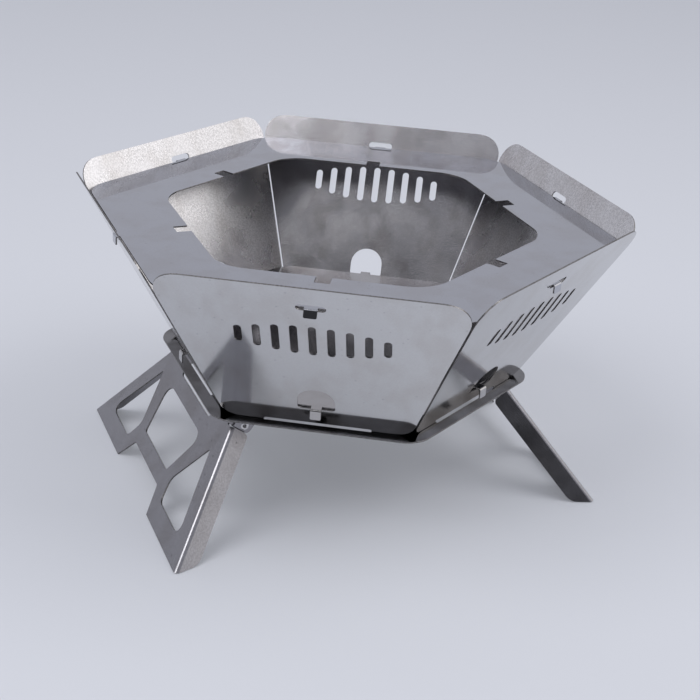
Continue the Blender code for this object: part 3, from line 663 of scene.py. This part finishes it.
STEELS = {
    "bright_sheet": {"colour": (0.62, 0.62, 0.63), "roughness": (0.07, 0.13), "grain": (900.0, 0.000004),
                     "stain": 0.93, "fleck": 0.85},
    "dull_sheet": {"colour": (0.66, 0.645, 0.665), "roughness": (0.19, 0.26), "grain": (1100.0, 0.00007),
                   "stain": 0.84, "fleck": 0.75, "mottle": 0.84},
    "grained_sheet": {"colour": (0.74, 0.73, 0.745), "roughness": (0.24, 0.31), "grain": (850.0, 0.00007),
                      "stain": 0.88, "fleck": 0.88, "mottle": 0.78},
    "ring_sheet": {"colour": (0.51, 0.52, 0.56), "roughness": (0.04, 0.08), "grain": (900.0, 0.000004),
                   "stain": 0.95},
    "plate_sheet": {"colour": (0.50, 0.49, 0.495), "roughness": (0.12, 0.18), "grain": (900.0, 0.00001)},
    # The base plate's very dark colour is painted shade and painted reflection for its lip under the panels;
    # its clouds and specks are stains.
    "shade_dark_base_sheet": {"colour": (0.25, 0.245, 0.25), "roughness": (0.12, 0.18), "grain": (900.0, 0.00001),
                   "stain": 0.62, "fleck": 0.75},
    "leg_sheet": {"colour": (0.325, 0.32, 0.34), "roughness": (0.16, 0.26), "grain": (1000.0, 0.00005),
                  "stain": 0.88, "fleck": 0.55, "mottle": 0.85},
    "rivet_metal": {"colour": (0.66, 0.66, 0.67), "roughness": (0.18, 0.28), "grain": (900.0, 0.000004),
                    "wave": 0.0},
}
GRAINED_PANELS = ("rear_left", "right")

# Marks that every steel shares: scales per metre, and the range of the pattern over which each comes up
PATCH_SCALE = 26.0
CLOUD_SCALE = 40.0
CLOUD_STRETCH = (1.0, 1.0, 0.5)
CLOUD_RANGE = (0.40, 0.68)
CLOUD_TINT = (1.0, 0.985, 0.97)
SPECK_SCALE = 110.0
SPECK_RANGE = (0.05, 0.13)
MOTTLE_SCALE = 0.8
MOTTLE_RANGE = (0.35, 0.65)
GRAIN_DETAIL = 2.0
WAVE_SCALE = 6.0

# Cut edges: rough, with fine marks, and coloured dark as painted shade along every sheet's rim
EDGE_SHADE_COLOUR = (0.26, 0.25, 0.25)
EDGE_TINT = (0.5, 0.5, 0.5)
EDGE_ROUGHNESS = (0.28, 0.45)
EDGE_MARK_SCALE = 900.0


def link(tree, source, output, target, socket):
    tree.links.new(source.outputs[output], target.inputs[socket])


def noise(tree, place, scale, detail=3.0, stretch=None):
    """Noise in Object coordinates, drawn out along the axes by the stretch."""
    node = tree.nodes.new("ShaderNodeTexNoise")
    node.inputs["Scale"].default_value = scale
    node.inputs["Detail"].default_value = detail
    if stretch:
        mapping = tree.nodes.new("ShaderNodeMapping")
        mapping.inputs["Scale"].default_value = stretch
        link(tree, place, "Object", mapping, "Vector")
        link(tree, mapping, "Vector", node, "Vector")
    else:
        link(tree, place, "Object", node, "Vector")
    return node


def specks(tree, place, scale):
    """Distance to scattered points, a cell apart on average."""
    node = tree.nodes.new("ShaderNodeTexVoronoi")
    node.inputs["Scale"].default_value = scale
    link(tree, place, "Object", node, "Vector")
    return node


def spread(tree, source, low, high, start=0.3, stop=0.7, output="Fac"):
    """Maps a pattern smoothly to a range of values."""
    node = tree.nodes.new("ShaderNodeMapRange")
    node.interpolation_type = "SMOOTHSTEP"
    node.inputs["From Min"].default_value = start
    node.inputs["From Max"].default_value = stop
    node.inputs["To Min"].default_value = low
    node.inputs["To Max"].default_value = high
    link(tree, source, output, node, "Value")
    return node


def tinted(tree, base, output, tint, amount):
    """Multiplies a colour by a tint, as far as the amount node says."""
    node = tree.nodes.new("ShaderNodeMix")
    node.data_type = "RGBA"
    node.blend_type = "MULTIPLY"
    if output:
        link(tree, base, output, node, "A")
    else:
        node.inputs["A"].default_value = (*base, 1.0)
    node.inputs["B"].default_value = (*tint, 1.0)
    link(tree, amount, "Result", node, "Factor")
    return node


def bump(tree, source, distance, under=None):
    """Relief by a noise, over another relief where one is given."""
    node = tree.nodes.new("ShaderNodeBump")
    node.inputs["Distance"].default_value = distance
    link(tree, source, "Fac", node, "Height")
    if under:
        link(tree, under, "Normal", node, "Normal")
    return node


def new_metal(name):
    """Metal material, with its node tree, its shader and its Object coordinates."""
    material = bpy.data.materials.new(name)
    material.use_nodes = True
    tree = material.node_tree
    surface = tree.nodes["Principled BSDF"]
    surface.inputs["Metallic"].default_value = 1.0
    return material, tree, surface, tree.nodes.new("ShaderNodeTexCoord")


def steel(name, colour, roughness, grain, wave=0.0003, stain=0.9, fleck=0.9, mottle=0.97):
    """Stainless sheet with patchy gloss, cloudy stains, small specks and grain, and a slightly wavy face.

    Stain, fleck and mottle are how far the clouds, the specks and the grain darken it.
    """
    material, tree, surface, place = new_metal(name)
    patches = noise(tree, place, PATCH_SCALE)
    link(tree, spread(tree, patches, *roughness), "Result", surface, "Roughness")
    cloudy = noise(tree, place, CLOUD_SCALE, 3.0, CLOUD_STRETCH)
    clouds = spread(tree, cloudy, 0.0, 1.0, *CLOUD_RANGE)
    stained = tinted(tree, colour, None, [stain * share for share in CLOUD_TINT], clouds)
    flecks = spread(tree, specks(tree, place, SPECK_SCALE), 1.0, 0.0, *SPECK_RANGE, "Distance")
    flecked = tinted(tree, stained, "Result", (fleck, fleck, fleck), flecks)
    scale, depth = grain
    mottles = spread(tree, noise(tree, place, scale * MOTTLE_SCALE, GRAIN_DETAIL), 0.0, 1.0, *MOTTLE_RANGE)
    mottled = tinted(tree, flecked, "Result", (mottle, mottle, mottle), mottles)
    link(tree, mottled, "Result", surface, "Base Color")
    waves = bump(tree, noise(tree, place, WAVE_SCALE, 0.0), wave)
    finish = bump(tree, noise(tree, place, scale, GRAIN_DETAIL), depth, waves)
    link(tree, finish, "Normal", surface, "Normal")
    return material


def shaded_cut_edge():
    """Edge left by the laser: fairly rough, with fine marks. Its dark colour is painted shade along the
    sheet's rim.
    """
    material, tree, surface, place = new_metal("shaded_cut_edge")
    marks = noise(tree, place, EDGE_MARK_SCALE, 1.0)
    link(tree, spread(tree, marks, *EDGE_ROUGHNESS), "Result", surface, "Roughness")
    dark = tinted(tree, EDGE_SHADE_COLOUR, None, EDGE_TINT, spread(tree, marks, 0.0, 1.0))
    link(tree, dark, "Result", surface, "Base Color")
    return material


# Studio

CAMERA_PLACE = (-0.42436, -0.99799, 0.62523)
CAMERA_AZIMUTH = 246.608
CAMERA_ELEVATION = 25.574
CAMERA_ROLL = math.radians(3.857)
CAMERA_LENS = 70.03
CAMERA_SENSOR = 36.0

# Walls of the studio: brightness, and azimuth, elevation, core and reach of its dim and bright parts
WALL_COLOUR = (0.955, 0.97, 1.06)
WARM_COLOUR = (1.0, 0.985, 0.985)
WALL_LEVEL = 0.57
DIM_LEVEL = 0.05
DIM_SIDES = ((226.0, 14.0, 17.0, 29.0), (250.0, 15.0, 14.0, 30.0))
BRIGHT_LEVEL = 0.56
BRIGHT_SIDE = (347.0, 12.0, 26.0, 44.0)

# Floor, and the share of its pale paper that shows as it is, without light or shadow
FLOOR_HALF = 6.0
FLOOR_COLOUR = (0.595, 0.61, 0.66)
FLOOR_ROUGHNESS = 0.8
FLOOR_SPECULAR = 0.2
PAPER_COLOUR = (0.75, 0.775, 0.835)
PAPER_SHARE = 0.22

# Square softboxes: name, azimuth, elevation and power
LAMP_DISTANCE = 2.6
LAMP_SIZE = 1.6
LAMPS = (
    ("left_softbox", 192.0, 56.0, 25.0),
    ("right_softbox", 330.0, 55.0, 18.0),
)


def add_camera():
    """Camera at the photograph's place, turned to its view."""
    data = bpy.data.cameras.new("camera")
    data.lens = CAMERA_LENS
    data.sensor_width = CAMERA_SENSOR
    camera = bpy.data.objects.new("camera", data)
    bpy.context.scene.collection.objects.link(camera)
    back = toward(CAMERA_AZIMUTH, CAMERA_ELEVATION)
    right = upward(1.0).cross(back).normalized()
    up = back.cross(right)
    turned_right = right * math.cos(CAMERA_ROLL) + up * math.sin(CAMERA_ROLL)
    turned_up = up * math.cos(CAMERA_ROLL) - right * math.sin(CAMERA_ROLL)
    camera.matrix_world = placed(turned_right, turned_up, back, Vector(CAMERA_PLACE))
    bpy.context.scene.camera = camera


def add_lamp(name, azimuth, elevation, power):
    """Softbox in a direction from the fire pit, aimed at it."""
    data = bpy.data.lights.new(name, "AREA")
    data.shape = "RECTANGLE"
    data.size = LAMP_SIZE
    data.size_y = LAMP_SIZE
    data.energy = power
    lamp = bpy.data.objects.new(name, data)
    bpy.context.scene.collection.objects.link(lamp)
    away = toward(azimuth, elevation)
    lamp.location = away * LAMP_DISTANCE
    lamp.rotation_euler = (-away).to_track_quat("-Z", "Y").to_euler()


def maximum(tree, first, first_output, second, second_output):
    node = tree.nodes.new("ShaderNodeMath")
    node.operation = "MAXIMUM"
    link(tree, first, first_output, node, 0)
    link(tree, second, second_output, node, 1)
    return node


def add_floor():
    """Pale floor that takes the shadow, mixed with its own even light where it is seen or mirrored."""
    work = bmesh.new()
    bmesh.ops.create_grid(work, x_segments=1, y_segments=1, size=FLOOR_HALF)
    material = bpy.data.materials.new("pale_floor")
    material.use_nodes = True
    tree = material.node_tree
    surface = tree.nodes["Principled BSDF"]
    surface.inputs["Base Color"].default_value = (*FLOOR_COLOUR, 1.0)
    surface.inputs["Roughness"].default_value = FLOOR_ROUGHNESS
    surface.inputs["Specular IOR Level"].default_value = FLOOR_SPECULAR
    paper = tree.nodes.new("ShaderNodeEmission")
    paper.inputs["Color"].default_value = (*PAPER_COLOUR, 1.0)
    ray = tree.nodes.new("ShaderNodeLightPath")
    seen = maximum(tree, ray, "Is Camera Ray", ray, "Is Glossy Ray")
    clear = maximum(tree, seen, "Value", ray, "Is Transmission Ray")
    share = tree.nodes.new("ShaderNodeMath")
    share.operation = "MULTIPLY"
    link(tree, clear, "Value", share, 0)
    share.inputs[1].default_value = PAPER_SHARE
    mix = tree.nodes.new("ShaderNodeMixShader")
    link(tree, share, "Value", mix, 0)
    link(tree, surface, "BSDF", mix, 1)
    link(tree, paper, "Emission", mix, 2)
    link(tree, mix, "Shader", tree.nodes["Material Output"], "Surface")
    floor = finish_mesh("floor", work, [material])


def glow(tree, direction, azimuth, elevation, core, reach, inside=1.0, outside=0.0):
    """Value that goes smoothly from the inside one, in the core round a direction, to the outside one."""
    likeness = tree.nodes.new("ShaderNodeVectorMath")
    likeness.operation = "DOT_PRODUCT"
    likeness.inputs[1].default_value = toward(azimuth, elevation)
    link(tree, direction, "Generated", likeness, 0)
    fade = tree.nodes.new("ShaderNodeMapRange")
    fade.interpolation_type = "SMOOTHSTEP"
    fade.inputs["From Min"].default_value = math.cos(math.radians(reach))
    fade.inputs["From Max"].default_value = math.cos(math.radians(core))
    fade.inputs["To Min"].default_value = outside
    fade.inputs["To Max"].default_value = inside
    link(tree, likeness, "Value", fade, "Value")
    return fade


def add_world():
    """Pale studio: even walls with two dim parts, low on the camera's side, and a bright part on the right."""
    world = bpy.data.worlds.new("studio")
    bpy.context.scene.world = world
    world.use_nodes = True
    tree = world.node_tree
    backdrop = tree.nodes["Background"]
    direction = tree.nodes.new("ShaderNodeTexCoord")
    clear = tree.nodes.new("ShaderNodeMath")
    clear.operation = "MULTIPLY"
    for socket, side in enumerate(DIM_SIDES):
        link(tree, glow(tree, direction, *side, inside=0.0, outside=1.0), "Result", clear, socket)
    dim = tree.nodes.new("ShaderNodeMath")
    dim.operation = "MULTIPLY_ADD"
    link(tree, clear, "Value", dim, 0)
    dim.inputs[1].default_value = WALL_LEVEL - DIM_LEVEL
    dim.inputs[2].default_value = DIM_LEVEL
    bright = glow(tree, direction, *BRIGHT_SIDE)
    tint = tree.nodes.new("ShaderNodeMix")
    tint.data_type = "RGBA"
    tint.inputs["A"].default_value = (*WALL_COLOUR, 1.0)
    tint.inputs["B"].default_value = (*WARM_COLOUR, 1.0)
    link(tree, bright, "Result", tint, "Factor")
    link(tree, tint, "Result", backdrop, "Color")
    lit = tree.nodes.new("ShaderNodeMath")
    lit.operation = "MULTIPLY_ADD"
    link(tree, bright, "Result", lit, 0)
    lit.inputs[1].default_value = BRIGHT_LEVEL
    link(tree, dim, "Value", lit, 2)
    link(tree, lit, "Value", backdrop, "Strength")


def build():
    add_camera()
    edge = shaded_cut_edge()
    steels = {name: steel(name, **marks) for name, marks in STEELS.items()}

    def faced(face, back):
        return [steels[face], steels[back], edge]

    make_base_plate(faced("shade_dark_base_sheet", "shade_dark_base_sheet"))
    leg_finishes = faced("leg_sheet", "leg_sheet")
    for side in LEG_SIDES:
        azimuth = SIDES[side]
        make_leg(side, azimuth, leg_finishes)
        for hand in (-1.0, 1.0):
            end = "rear" if hand * math.cos(math.radians(azimuth)) > 0.0 else "front"
            make_hinge(side, azimuth, hand, end, leg_finishes, steels["rivet_metal"])
    make_fire_plate(faced("plate_sheet", "plate_sheet"))
    for side, azimuth in SIDES.items():
        inner = "grained_sheet" if side in GRAINED_PANELS else "dull_sheet"
        make_panel(side, azimuth, faced("bright_sheet", inner))
    make_top_ring(faced("ring_sheet", "ring_sheet"))
    add_floor()
    add_world()
    for lamp in LAMPS:
        add_lamp(*lamp)
    bpy.context.scene.view_settings.view_transform = "Standard"


build()
